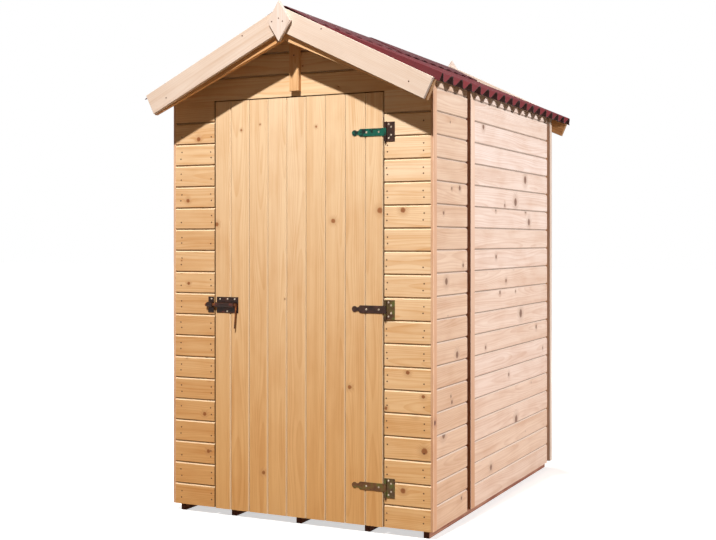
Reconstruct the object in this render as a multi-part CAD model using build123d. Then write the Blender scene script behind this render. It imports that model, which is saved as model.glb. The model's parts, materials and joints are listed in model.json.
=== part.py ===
from build123d import *
import math
import os

# Wooden outhouse: a gable-roofed timber cabin on runners, with one boarded door in its front
# wall. Millimetres. X runs across the front (+X to the right of someone facing the door), Y runs
# from the front towards the back, and Z is up from the level ground. The origin is on the ground,
# under the middle of the cabin. The functions below count Y from the face of the front wall, and
# main() moves the finished pieces so that the origin comes to its place.

# ---- Driving dimensions -------------------------------------------------------------------------

# Walls
wall_width = 1194.0        # over the corner trims
wall_depth = 1632.0        # front face to rear face
board_thickness = 16.0     # wall boards and door boards
board_pitch = 90.0         # cover width of one wall board
bottom_board = 87.0        # the lowest board is cut a little narrower
courses_to_door_head = 18  # boards between the lowest one's top edge and the door head, at its top
trim_proud = 3.0           # how far the vertical trims stand out past the side boards
corner_trim_thickness = 11.0
corner_trim_width = 37.5
panel_length = 385.0       # short side panel next to the front corner, corner trim included
panel_gap = 36.0           # gap between the short and the long side panel
panel_trim_width = 48.0    # vertical trim at the front end of the long side panel
rear_gap = 45.0            # gap between the long side panel and the rear corner trim
rear_trim_width = 33.0

# Frame behind the boards
post_thickness = 30.0      # inwards from the side boards
front_post_width = 40.0    # along the front wall
front_frame_depth = 21.5   # front wall frame, measured behind the front boards
middle_post_width = 110.0  # plank that joins the two side panels
rear_post_width = 76.0
head_height = 40.0

# Floor
runner_width = 25.0
runner_height = 45.0
inner_runner_place = 308.0  # middles of the two inner runners from the cabin's middle
floor_thickness = 16.0
wall_foot = 31.0           # lower edge of the wall boards above the ground
floor_edge_gap = 6.0       # floor edge from the inner face of the boards on every side
runner_rear_inset = 20.0   # runners' rear ends from the floor's rear edge

# Roof
roof_pitch = 23.7          # degrees, rafters and sheets
gable_shoulder = 41.8      # height of the front gable boards at the corners, above the door head
gable_overhang = 130.0     # barge board's outer face in front of the wall
front_rafter_width = 82.0
rear_rafter_width = 66.0
rafter_thickness = 20.0
barge_pitch = 26.2         # degrees, the barge boards are nailed on steeper than the rafters
barge_width = 88.0
barge_thickness = 18.0
barge_rise = 41.0          # front barge boards' peak above the plane that carries the sheets
barge_overhang = 50.0      # barge board's top corner past the corner trims, level distance
rear_barge_lift = 21.0     # the rear barge boards are nailed on a little higher
sheet_overhang = 67.0      # eaves edge of the sheets past the corner trims, level distance
sheet_rear_inset = 20.0    # sheets' rear edge from the rear barge boards
sheet_thickness = 3.0
wave_pitch = 105.0
wave_height = 33.0         # over the sheet's two faces
wave_flank_angle = 45.0    # degrees
ridge_gap = 24.0           # top edge of each sheet from the ridge, along the slope
cap_pitch = 27.5           # degrees, steeper than the sheets, so only the cap's edges rest on them
cap_reach = 152.0          # lower edges of the ridge cap from the ridge, level distance
cap_radius = 40.0
cap_joint = 700.0          # front edge of the rear length of the cap, behind the front wall
cap_lap = 100.0            # the front length runs on under the rear one
purlin_width = 40.0
purlin_depth = 45.0
middle_purlin_place = 300.0  # top edge of the middle purlin from the ridge, along the slope
ridge_beam_width = 30.0
ridge_beam_depth = 45.0

# Ornaments on the gables
finial_width = 102.0
finial_height = 164.0
finial_thickness = 18.0
finial_drop = 60.0         # the front finial's widest line below the barge boards' peak
rear_finial_lift = 31.0    # the rear one is nailed on a little higher
gable_post_width = 43.0
gable_post_thickness = 22.0
gable_post_foot = 18.0     # its lower end above the door head

# Door
door_width = 770.0
door_gap = 6.0             # running gap at both edges
door_top_gap = 5.0
door_foot = 29.0           # lower edge above the ground
ledge_height = 70.0
ledge_thickness = 18.0
ledge_side_inset = 20.0
ledge_foot_inset = 110.0   # lowest ledge from the door's lower edge
ledge_head_inset = 74.0    # highest ledge from the door's top edge

# T-hinges
hinge_inset = 156.0        # middles of the lowest and highest hinge from the door's ends
hinge_count = 3
hinge_metal = 2.5
strap_length = 146.0       # pin to tip
strap_height = 30.0
strap_tip_radius = 11.5
strap_neck = 10.0
plate_width = 39.0         # pin to free edge
plate_height = 76.0
pin_radius = 2.5
pin_clearance = 0.05       # running fit, on the radius
knuckle_radius = 4.6
knuckle_gap = 0.6          # between the strap's knuckle and the plate's knuckles
pin_overrun = 7.0          # pin below the lower knuckle

# Slide bolt
bolt_height = 883.0        # rod axis above the ground
bolt_plate_length = 104.0
bolt_plate_height = 66.0
bolt_plate_inset = 7.0     # plate's edge from the door's edge
bolt_metal = 2.0
rod_radius = 7.0
rod_clearance = 0.3        # rod in its barrel, on the radius
keeper_clearance = 0.6     # rod in its keeper, on the radius
barrel_wall = 3.0
bare_plate = 14.0          # base plate past the barrel, at the handle end
rod_stand_off = 1.0        # between the rod's bore and its base plate
keeper_length = 27.0
keeper_inset = 2.0         # keeper's edge from the door opening
rod_overrun = 8.0          # rod past the keeper when it is shot
rod_inset = 3.0            # rod's end from the base plate's edge
handle_radius = 2.8
handle_length = 98.0
handle_lean = 4.0          # degrees

# Fit between pieces that are nailed, screwed or laid on each other
seat = 0.3

# ---- Values that follow -------------------------------------------------------------------------

half_width = wall_width / 2
side_face = half_width - trim_proud
side_inner = side_face - board_thickness
corner_post_face = half_width - corner_trim_thickness
front_frame_back = board_thickness + front_frame_depth
rear_board_front = wall_depth - board_thickness
opening_half = door_width / 2 + door_gap
door_head = wall_foot + bottom_board + courses_to_door_head * board_pitch
door_top = door_head - door_top_gap
floor_top = runner_height + floor_thickness
floor_half = side_inner - floor_edge_gap
floor_front = board_thickness + floor_edge_gap
floor_rear = rear_board_front - floor_edge_gap
slope_cos = math.cos(math.radians(roof_pitch))
slope_sin = math.sin(math.radians(roof_pitch))
slope_tan = slope_sin / slope_cos
frame_apex = door_head + gable_shoulder + corner_post_face * slope_tan  # peak under the sheets
barge_apex = frame_apex + barge_rise
barge_reach = half_width + barge_overhang
sheet_reach = half_width + sheet_overhang
cap_tan = math.tan(math.radians(cap_pitch))
crest_apex = frame_apex + (wave_height + seat) / slope_cos  # peak of the plane over the crests
cap_apex = crest_apex + seat / slope_cos + cap_reach * (cap_tan - slope_tan)
eaves_purlin_place = side_inner / slope_cos - purlin_width
post_top = frame_apex - (eaves_purlin_place + purlin_width) * slope_sin - purlin_depth * slope_cos
side_top = frame_apex - half_width * slope_tan - seat
rafter_back = -gable_overhang + barge_thickness + rafter_thickness
sheet_start = -gable_overhang + barge_thickness + seat
cap_end = wall_depth - sheet_start
sheet_end = cap_end - sheet_rear_inset
hinge_x = opening_half + door_gap
hinge_y = -seat - knuckle_radius
rod_y = -seat - bolt_metal - rod_stand_off - rod_radius - rod_clearance


# ---- Shapes -------------------------------------------------------------------------------------

def block(x_span, y_span, z_span):
    """A rectangular piece between two places on each axis."""
    size = [abs(high - low) for low, high in (x_span, y_span, z_span)]
    middle = [(low + high) / 2 for low, high in (x_span, y_span, z_span)]
    return Pos(*middle) * Box(*size)


def gable_shape(points, y_front, y_back):
    """A piece with its outline in X and Z, and its thickness in Y."""
    outline = make_face(Plane.XZ * Polyline(*points, close=True))
    return extrude(Pos(0, y_front, 0) * outline, amount=y_back - y_front, dir=(0, 1, 0))


def slope_point(along, below, apex, pitch):
    """A place on a right-hand slope: along it from its peak, and square to it, downwards."""
    angle = math.radians(pitch)
    x = along * math.cos(angle) - below * math.sin(angle)
    z = apex - along * math.sin(angle) - below * math.cos(angle)
    return (x, z)


def roof_point(along, below):
    """A place on the right-hand slope that carries the sheets."""
    return slope_point(along, below, frame_apex, roof_pitch)


def left_of(piece):
    """The same piece on the left-hand side."""
    return mirror(piece, about=Plane.YZ)


def rear_of(piece):
    """The same piece at the rear gable."""
    return mirror(piece, about=Plane.XZ.offset(-wall_depth / 2))


# ---- Floor --------------------------------------------------------------------------------------

def floor_envelope():
    """The room that the runners and the floor boards take up together."""
    return block((-floor_half, floor_half), (floor_front, floor_rear), (0, floor_top))


def runners():
    """Five runners: one in the middle, two flush with the floor's edges and two between."""
    outer = floor_half - runner_width / 2
    y_span = (floor_front, floor_rear - runner_rear_inset)
    pieces = []
    for place in (-outer, -inner_runner_place, 0, inner_runner_place, outer):
        x_span = (place - runner_width / 2, place + runner_width / 2)
        pieces.append(block(x_span, y_span, (0, runner_height)))
    return pieces


def floor_boards():
    return block((-floor_half, floor_half), (floor_front, floor_rear), (runner_height, floor_top))


# ---- Walls --------------------------------------------------------------------------------------

def front_strip():
    """Boards between the door opening and the right-hand front corner."""
    return block((opening_half, corner_post_face), (0, board_thickness), (wall_foot, door_head))


def gable_outline(half_span, foot):
    """Outline of gable boards that reach up to the roof."""
    shoulder = frame_apex - half_span * slope_tan
    return [
        (-half_span, foot),
        (half_span, foot),
        (half_span, shoulder),
        (0, frame_apex),
        (-half_span, shoulder),
    ]


def notched(boards):
    """Gable boards with their notches for the roof timbers, without the offcuts above them."""
    return (boards - roof_timbers()).solids().sort_by(SortBy.VOLUME)[-1]


def front_gable():
    outline = gable_outline(corner_post_face, door_head)
    return notched(gable_shape(outline, 0, board_thickness))


def rear_wall():
    outline = gable_outline(side_inner, wall_foot)
    return notched(gable_shape(outline, rear_board_front, wall_depth))


def side_boards(y_front, y_back):
    """Boards of one right-hand side panel."""
    return block((side_inner, side_face), (y_front, y_back), (wall_foot, side_top))


def post(x_span, y_span, top):
    """A frame post that stands on the floor and laps down over the floor's edge."""
    return block(x_span, y_span, (wall_foot, top)) - floor_envelope()


def door_post():
    x_span = (opening_half, opening_half + front_post_width)
    return post(x_span, (board_thickness, front_frame_back), door_head + head_height)


def front_corner_post():
    x_span = (corner_post_face - front_post_width, corner_post_face)
    return post(x_span, (board_thickness, front_frame_back), post_top)


def middle_post():
    gap_middle = panel_length + (panel_gap + panel_trim_width) / 2
    y_span = (gap_middle - middle_post_width / 2, gap_middle + middle_post_width / 2)
    return post((side_inner - post_thickness, side_inner), y_span, post_top)


def rear_corner_post():
    y_span = (rear_board_front - rear_post_width, rear_board_front)
    return post((side_inner - post_thickness, side_inner), y_span, post_top)


def door_head_rail():
    z_span = (door_head, door_head + head_height)
    return block((-opening_half, opening_half), (board_thickness, front_frame_back), z_span)


def front_corner_trim():
    return block((corner_post_face, half_width), (0, corner_trim_width), (wall_foot, side_top))


def middle_trim():
    start = panel_length + panel_gap
    return block((side_inner, half_width), (start, start + panel_trim_width), (wall_foot, side_top))


def rear_corner_trim():
    start = wall_depth - rear_trim_width
    return block((side_inner, half_width), (start, wall_depth), (wall_foot, side_top))


def gable_post():
    half = gable_post_width / 2
    top = frame_apex - ridge_beam_width / 2 * slope_tan - ridge_beam_depth
    z_span = (door_head + gable_post_foot, top)
    return block((-half, half), (-gable_post_thickness, 0), z_span)


# ---- Roof ---------------------------------------------------------------------------------------

def purlin(place):
    """A right-hand purlin from rafter to rafter, square to the slope."""
    points = [
        roof_point(place, 0),
        roof_point(place + purlin_width, 0),
        roof_point(place + purlin_width, purlin_depth),
        roof_point(place, purlin_depth),
    ]
    return gable_shape(points, rafter_back, wall_depth - rafter_back)


def ridge_beam():
    half = ridge_beam_width / 2
    top = frame_apex - half * slope_tan
    z_span = (top - ridge_beam_depth, top)
    return block((-half, half), (rafter_back, wall_depth - rafter_back), z_span)


def roof_timbers():
    """The timbers that run through both gables, as cutters for them."""
    eaves = purlin(eaves_purlin_place)
    middle = purlin(middle_purlin_place)
    return [eaves, left_of(eaves), middle, left_of(middle), ridge_beam()]


def roof_plank(apex, pitch, width, y_front, thickness):
    """A right-hand plank along a slope: mitred at the ridge, cut square at the eaves."""
    pitch_cos = math.cos(math.radians(pitch))
    end = barge_reach / pitch_cos
    points = [
        (0, apex),
        slope_point(end, 0, apex, pitch),
        slope_point(end, width, apex, pitch),
        (0, apex - width / pitch_cos),
    ]
    return gable_shape(points, y_front, y_front + thickness)


def barge_board():
    return roof_plank(barge_apex, barge_pitch, barge_width, -gable_overhang, barge_thickness)


def rafter(width):
    y_front = -gable_overhang + barge_thickness
    return roof_plank(frame_apex, roof_pitch, width, y_front, rafter_thickness)


def wave_side(offset, half_wave, count):
    """Edges of one face of the corrugated sheet, from a crest on, by half waves.

    Round crests and valleys join straight flanks. The offset is the face's distance above the
    middle of the sheet's thickness.
    """
    flank = math.radians(wave_flank_angle)
    rise = wave_height - sheet_thickness
    bend = (half_wave - rise / math.tan(flank)) / math.tan(flank / 2) / 2
    low_middle = sheet_thickness / 2 + bend
    high_middle = sheet_thickness / 2 + rise - bend
    low_bend = bend - offset
    high_bend = bend + offset

    def low(start, angle):
        return (start + low_bend * math.sin(angle), low_middle - low_bend * math.cos(angle))

    def high(start, angle):
        return (start + high_bend * math.sin(angle), high_middle + high_bend * math.cos(angle))

    edges = []
    for number in range(count):
        first, last = (low, high) if number % 2 else (high, low)
        start = number * half_wave
        end = start + half_wave
        edges.append(ThreePointArc(first(start, 0), first(start, flank / 2), first(start, flank)))
        edges.append(Line(first(start, flank), last(end, -flank)))
        edges.append(ThreePointArc(last(end, -flank), last(end, -flank / 2), last(end, 0)))
    return edges


def corrugated_sheet():
    """The right-hand sheet: its waves run down the slope.

    A crest is at its front edge, which is turned down behind the barge board.
    """
    length = sheet_end - sheet_start
    count = round(2 * length / wave_pitch)
    lower = wave_side(-sheet_thickness / 2, length / count, count)
    upper = wave_side(sheet_thickness / 2, length / count, count)
    ends = [Line(lower[0] @ 0, upper[0] @ 0), Line(lower[-1] @ 1, upper[-1] @ 1)]
    turned_edge = Rectangle(sheet_thickness, wave_height - sheet_thickness / 2, align=Align.MIN)
    section = make_face(lower + upper + ends) + turned_edge
    x, z = roof_point(ridge_gap, -seat)
    slope = Plane(origin=(x, sheet_start, z), x_dir=(0, 1, 0), z_dir=(slope_cos, 0, -slope_sin))
    return extrude(slope * section, amount=sheet_reach / slope_cos - ridge_gap)


def turned_sheet():
    """The left-hand sheet: the same one turned round, so a valley is at its front edge."""
    return Pos(0, sheet_start + sheet_end, 0) * Rot(0, 0, 180) * corrugated_sheet()


def cap_length(y_front, y_back, apex):
    """One length of the ridge cap, a strip folded over the ridge."""
    edge = cap_reach / math.cos(math.radians(cap_pitch))
    inner = slope_point(edge, 0, apex, cap_pitch)
    outer = slope_point(edge, -sheet_thickness, apex, cap_pitch)
    outer_apex = apex + sheet_thickness / math.cos(math.radians(cap_pitch))
    points = [
        (-inner[0], inner[1]),
        (0, apex),
        inner,
        outer,
        (0, outer_apex),
        (-outer[0], outer[1]),
    ]
    section = make_face(Polyline(*points, close=True))
    folds = section.vertices().filter_by_position(Axis.X, -seat, seat).sort_by(Axis.Y)
    section = fillet(folds[-1], cap_radius + sheet_thickness)
    folds = section.vertices().filter_by_position(Axis.X, -seat, seat).sort_by(Axis.Y)
    section = fillet(folds[0], cap_radius)
    return Pos(0, y_front, 0) * extrude(Plane.XZ * section, amount=y_back - y_front, dir=(0, 1, 0))


def ridge_cap():
    """The ridge cap's two lengths, laid on the crests, the rear one lapped over the front one."""
    lift = (sheet_thickness + seat) / math.cos(math.radians(cap_pitch))
    front = cap_length(sheet_start, cap_joint + cap_lap, cap_apex)
    rear = cap_length(cap_joint, cap_end, cap_apex + lift)
    return [front, rear]


def finial():
    """The lozenge over the joint of the front barge boards."""
    middle = barge_apex - finial_drop
    half_height = finial_height / 2
    points = [
        (0, middle + half_height),
        (finial_width / 2, middle),
        (0, middle - half_height),
        (-finial_width / 2, middle),
    ]
    return gable_shape(points, -gable_overhang - finial_thickness, -gable_overhang)


# ---- Door ---------------------------------------------------------------------------------------

def door_boards():
    return block((-door_width / 2, door_width / 2), (0, board_thickness), (door_foot, door_top))


def door_ledges():
    """Three level boards across the inside of the door, the middle one behind the bolt."""
    half = door_width / 2 - ledge_side_inset
    y_span = (board_thickness, board_thickness + ledge_thickness)
    feet = [
        door_foot + ledge_foot_inset,
        bolt_height - ledge_height / 2,
        door_top - ledge_head_inset - ledge_height,
    ]
    return [block((-half, half), y_span, (foot, foot + ledge_height)) for foot in feet]


# ---- T-hinges -----------------------------------------------------------------------------------

def upright(radius, x, y, z_span):
    """An upright round bar or bore."""
    low, high = z_span
    return Pos(x, y, (low + high) / 2) * Cylinder(radius, high - low)


def hinge_plate(middle):
    """The plate on the wall, with its two knuckles and the pin."""
    low = middle - plate_height / 2
    high = middle + plate_height / 2
    strap_room = strap_height / 2 + knuckle_gap
    y_span = (-seat - hinge_metal, -seat)
    leaf = block((hinge_x, hinge_x + plate_width), y_span, (low, high))
    notch_end = hinge_x + knuckle_radius + knuckle_gap
    notch = block((hinge_x, notch_end), y_span, (middle - strap_room, middle + strap_room))
    upper = upright(knuckle_radius, hinge_x, hinge_y, (middle + strap_room, high))
    lower = upright(knuckle_radius, hinge_x, hinge_y, (low, middle - strap_room))
    pin = upright(pin_radius, hinge_x, hinge_y, (low - pin_overrun, high))
    return leaf - notch + upper + lower + pin


def hinge_strap(middle):
    """The strap on the door, with its own knuckle and a round tip."""
    z_span = (middle - strap_height / 2, middle + strap_height / 2)
    y_span = (-seat - hinge_metal, -seat)
    tip_x = hinge_x - strap_length + strap_tip_radius
    body_x = tip_x + strap_tip_radius + strap_neck / 2
    body = block((body_x, hinge_x), y_span, z_span)
    body = chamfer(body.edges().filter_by(Axis.Y).group_by(Axis.X)[0], strap_height / 4)
    neck = block((tip_x, body_x), y_span, (middle - strap_height / 4, middle + strap_height / 4))
    tip_middle = (tip_x, -seat - hinge_metal / 2, middle)
    tip = Pos(*tip_middle) * Rot(90, 0, 0) * Cylinder(strap_tip_radius, hinge_metal)
    knuckle = upright(knuckle_radius, hinge_x, hinge_y, z_span)
    bore = upright(pin_radius + pin_clearance, hinge_x, hinge_y, z_span)
    return body + neck + tip + knuckle - bore


# ---- Slide bolt ---------------------------------------------------------------------------------

def bolt_bar(radius, x_span):
    """A round bar or bore on the bolt's axis."""
    low, high = x_span
    return Pos((low + high) / 2, rod_y, bolt_height) * Rot(0, 90, 0) * Cylinder(radius, high - low)


def bolt_guide(x_span, clearance, bare_end=0.0):
    """A plate with a round guide on it, bored for the rod. The guide may leave one end bare."""
    half = bolt_plate_height / 2
    z_span = (bolt_height - half, bolt_height + half)
    plate = block(x_span, (-seat - bolt_metal, -seat), z_span)
    radius = rod_radius + clearance + barrel_wall
    sides = (bolt_height - radius, bolt_height + radius)
    guide_span = (x_span[0], x_span[1] - bare_end)
    saddle = block(guide_span, (rod_y, -seat), sides)
    front_half = block(guide_span, (rod_y - radius, rod_y), sides) & bolt_bar(radius, guide_span)
    return plate + saddle + front_half - bolt_bar(rod_radius + clearance, x_span)


def bolt_barrel():
    start = -door_width / 2 + bolt_plate_inset
    return bolt_guide((start, start + bolt_plate_length), rod_clearance, bare_plate)


def bolt_keeper():
    end = -opening_half - keeper_inset
    return bolt_guide((end - keeper_length, end), keeper_clearance)


def bolt_rod():
    """The rod, shot into its keeper, with the thin handle that hangs from its free end."""
    start = -opening_half - keeper_inset - keeper_length - rod_overrun
    plate_end = -door_width / 2 + bolt_plate_inset + bolt_plate_length
    end = plate_end - rod_inset
    rod = bolt_bar(rod_radius, (start, end))
    from_its_top = (Align.CENTER, Align.CENTER, Align.MAX)
    handle = Cylinder(handle_radius, handle_length, align=from_its_top)
    return rod + Pos(end - handle_radius, rod_y, bolt_height) * Rot(0, handle_lean, 0) * handle


# ---- The outhouse -------------------------------------------------------------------------------

def pair(piece):
    """A right-hand piece and its left-hand twin, in one node."""
    return [piece, left_of(piece)]


def sided(name, piece):
    """Separate nodes for a right-hand piece and its left-hand twin."""
    return {f"right_{name}": [piece], f"left_{name}": [left_of(piece)]}


def floor_nodes():
    return {"floor_runners": runners(), "floor_boards": [floor_boards()]}


def wall_nodes():
    long_panel_start = panel_length + panel_gap + panel_trim_width
    long_panel_end = wall_depth - rear_trim_width - rear_gap
    nodes = {
        "front_gable": [front_gable()],
        "rear_wall": [rear_wall()],
        "door_head_rail": [door_head_rail()],
        "door_posts": pair(door_post()),
        "front_corner_posts": pair(front_corner_post()),
        "middle_posts": pair(middle_post()),
        "rear_corner_posts": pair(rear_corner_post()),
        "front_corner_trims": pair(front_corner_trim()),
        "middle_trims": pair(middle_trim()),
        "rear_corner_trims": pair(rear_corner_trim()),
        "gable_post": [gable_post()],
    }
    nodes.update(sided("front_strip", front_strip() - purlin(eaves_purlin_place)))
    nodes.update(sided("side_short_panel", side_boards(corner_trim_width, panel_length)))
    nodes.update(sided("side_long_panel", side_boards(long_panel_start, long_panel_end)))
    return nodes


def roof_nodes():
    nodes = {
        "eaves_purlins": pair(purlin(eaves_purlin_place)),
        "middle_purlins": pair(purlin(middle_purlin_place)),
        "ridge_beam": [ridge_beam()],
        "ridge_cap": ridge_cap(),
        "right_roof_sheet": [corrugated_sheet()],
        "left_roof_sheet": [turned_sheet()],
        "front_finial": [finial()],
        "rear_finial": [Pos(0, 0, rear_finial_lift) * rear_of(finial())],
    }
    nodes.update(sided("front_barge_board", barge_board()))
    nodes.update(sided("rear_barge_board", Pos(0, 0, rear_barge_lift) * rear_of(barge_board())))
    nodes.update(sided("front_rafter", rafter(front_rafter_width)))
    nodes.update(sided("rear_rafter", rear_of(rafter(rear_rafter_width))))
    return nodes


def door_nodes():
    nodes = {
        "door_boards": [door_boards()],
        "door_ledges": door_ledges(),
        "bolt_barrel": [bolt_barrel()],
        "bolt_keeper": [bolt_keeper()],
        "bolt_rod": [bolt_rod()],
    }
    lowest = door_foot + hinge_inset
    spacing = (door_top - hinge_inset - lowest) / (hinge_count - 1)
    for number in range(hinge_count):
        middle = lowest + number * spacing
        nodes[f"hinge_plate_{number + 1}"] = [hinge_plate(middle)]
        nodes[f"hinge_strap_{number + 1}"] = [hinge_strap(middle)]
    return nodes


def main():
    os.makedirs("parts", exist_ok=True)
    nodes = {}
    for group in (floor_nodes(), wall_nodes(), roof_nodes(), door_nodes()):
        nodes.update(group)
    to_origin = Pos(0, -wall_depth / 2, 0)
    for name, pieces in nodes.items():
        solids = []
        for piece in pieces:
            solids.extend((to_origin * piece).solids())
        shape = solids[0] if len(solids) == 1 else Compound(children=solids)
        shape.label = name
        export_step(shape, f"parts/{name}.step")


main()
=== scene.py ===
import json
import math
import random

import bmesh
import bpy
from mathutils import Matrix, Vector
from mathutils.bvhtree import BVHTree

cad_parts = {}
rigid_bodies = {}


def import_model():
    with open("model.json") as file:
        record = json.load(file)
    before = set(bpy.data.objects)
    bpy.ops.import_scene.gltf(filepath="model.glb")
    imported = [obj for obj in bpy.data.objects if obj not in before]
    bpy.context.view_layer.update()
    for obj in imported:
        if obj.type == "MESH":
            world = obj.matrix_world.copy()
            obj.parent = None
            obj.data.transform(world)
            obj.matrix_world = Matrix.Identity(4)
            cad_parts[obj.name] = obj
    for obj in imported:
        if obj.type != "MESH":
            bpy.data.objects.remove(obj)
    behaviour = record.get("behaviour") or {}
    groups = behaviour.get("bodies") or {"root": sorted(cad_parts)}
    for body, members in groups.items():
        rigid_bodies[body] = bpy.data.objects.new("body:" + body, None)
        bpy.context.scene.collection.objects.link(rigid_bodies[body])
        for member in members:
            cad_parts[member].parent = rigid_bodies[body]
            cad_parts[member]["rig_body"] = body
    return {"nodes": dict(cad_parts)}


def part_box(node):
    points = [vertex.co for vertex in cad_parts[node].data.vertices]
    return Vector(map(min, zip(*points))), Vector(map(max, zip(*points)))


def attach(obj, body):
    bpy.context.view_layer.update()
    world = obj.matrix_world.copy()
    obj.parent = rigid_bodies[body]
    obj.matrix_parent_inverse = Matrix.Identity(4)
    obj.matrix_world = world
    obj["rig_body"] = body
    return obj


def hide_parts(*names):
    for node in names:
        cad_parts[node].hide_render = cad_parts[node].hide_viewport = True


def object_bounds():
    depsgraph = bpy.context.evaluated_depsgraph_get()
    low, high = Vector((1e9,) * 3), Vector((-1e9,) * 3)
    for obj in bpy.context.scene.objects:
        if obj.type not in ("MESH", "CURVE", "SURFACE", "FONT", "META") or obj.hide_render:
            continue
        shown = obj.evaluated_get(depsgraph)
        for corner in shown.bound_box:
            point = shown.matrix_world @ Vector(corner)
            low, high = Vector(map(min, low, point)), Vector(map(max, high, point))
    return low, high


# Looks of the wooden outhouse. Metres, in the frame of the CAD model: X to the right of someone
# who faces the door, Y towards the back, Z up, with the origin on the ground under the middle.

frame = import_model()
cad_low, cad_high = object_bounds()

# ---- Sizes --------------------------------------------------------------------------------------

# Boards
board_pitch = 0.090
bottom_board = 0.087
side_joint_lift = 0.006      # side walls' joints above those of the front wall
door_first_board = 0.073     # from the bolt side
door_board_pitch = 0.0886
floor_board_pitch = 0.112
narrowest_board = 0.012
slot_depth = 0.0040          # narrow slot at the bottom of each groove
slot_slope = 0.15            # of the slot's walls, which meet in the joint
back_groove = 0.0010         # chamfer of the joints on the inner face
front_groove = 0.0055        # chamfer beside each joint
side_groove = 0.0048
door_groove = 0.0045
door_edge = 0.0035           # chamfer of the door's edge at the hinges
floor_groove = 0.0010
open_end = 0.012             # the last stretch of the side boards' grooves, which widens
open_end_width = 0.0016
open_end_depth = 0.0030
plank_ease = 0.0014          # rounding of planks' edges
weld = 0.00001               # corners that are closer than this become one
one_face = math.radians(1)   # faces that turn by less than this become one
sharp = math.radians(30)     # edges that turn by more are eased, and the cap's are shown sharp

# Grain of the wood, in metres along, across and through each board
grain_length = 60            # boards lie anywhere in a stretch of grain this long
heart_aside = 0.05           # most that the heart of the tree lies beside a board's middle
heart_depth = (0.03, 0.10)   # least and most that it lies below
heart_drift = (0.11, 0.05)   # range of its wander across and through a board
ring_pitch = 0.0046          # from one growth ring to the next
knot_push = 1.6              # knot radii by which the rings swerve round a knot
knot_wobble = 0.004          # range of the unevenness of a knot's outline
knot_cells = (3.3, 9.0, 0.0)     # cells per metre of the grid of chance knots
chance_knot = (0.002, 0.009)     # their smallest and largest radius
low_shade_and_tint_top = 1.9               # height at which the painted low shade and tint starts
low_shade_and_tint_foot = -0.1             # and at which it is full
tone_scatter = 0.15          # to either side of a wall's tone

# Roof
roof_pitch = math.radians(23.7)
barge_pitch = math.radians(26.2)
wave_pitch = 0.1049          # from crest to crest of the sheets
cap_sag = 0.005              # the cap's edges sink by this and rise again, once in each wave
cap_steps = 8                # cuts in each wave of the cap

# The cap's waves and the roof nails are counted from here. The sheets' crests, which they are
# meant for, lie 0.036 further back.
wave_start = {"right": cad_low.y, "left": cad_low.y + wave_pitch / 2}

# Heads of the fixings, as rings from the foot to the middle of the top. A ring has a height and
# one or more radii, which repeat round it.
nail_head = ((-0.0005, 0.0030), (0.0003, 0.0030), (0.0007, 0.0020))
roof_nail_head = ((-0.0060, 0.0095), (0.0015, 0.0095), (0.0045, 0.0070), (0.0058, 0.0035))
screw_head = (
    (-0.0010, 0.0037),
    (0.0007, 0.0037),
    (0.0013, 0.0027),
    (0.0013, 0.0019, 0.0019, 0.0007, 0.0007),
    (0.0005, 0.0017, 0.0017, 0.0006, 0.0006),
)
head_sides = 16

# Places of the fixings, as x or as x and z. Plate screws count z from the middle of their hinge.
hinges = (1, 2, 3)
strap_screws = (0.314, 0.368)
plate_screws = ((0.410, 0.029), (0.421, 0.018), (0.421, -0.013), (0.410, -0.026))
bolt_screws = ((-0.362, 0.907), (-0.326, 0.907), (-0.291, 0.907), (-0.327, 0.857))
keeper_screw = (-0.404, 0.907)
strip_nail_columns = (-0.557, -0.408, 0.402, 0.557)
strip_nail_rows = 18         # boards that have nails, counted from the bottom one
nail_scatter = 0.003         # to either side of the column
nail_lift = (0.011, 0.015)   # least and most, above and below the middle of the board
nail_share = 0.85            # of these places that have a nail
barge_nails = ((-0.545, 1.745), (-0.177, 1.975), (0.549, 1.749), (0.180, 1.975))
finial_nails = ((-0.031, 2.017), (0.018, 2.015), (0.000, 2.028))
gable_post_nail = (0, 1.90)
roof_nail_rows = (0.600, 0.330)  # to either side of the ridge
roof_nail_waves = range(1, 18, 2)    # counted from 0 at the front
in_front, behind, overhead = -2, 2, 3    # clear of the outhouse, where lines to fixings start

random.seed(7)

# Axes, the two ends of a piece's box, and directions
X, Y, Z = 0, 1, 2
LOW, HIGH = 0, 1
RIGHT = Vector((1, 0, 0))
BACK = Vector((0, 1, 0))
UP = Vector((0, 0, 1))
right_slope = Vector((math.cos(roof_pitch), 0, -math.sin(roof_pitch)))
left_slope = Vector((-math.cos(roof_pitch), 0, -math.sin(roof_pitch)))
right_barge_slope = Vector((math.cos(barge_pitch), 0, -math.sin(barge_pitch)))
left_barge_slope = Vector((-math.cos(barge_pitch), 0, -math.sin(barge_pitch)))


# ---- Material nodes -----------------------------------------------------------------------------

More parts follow.
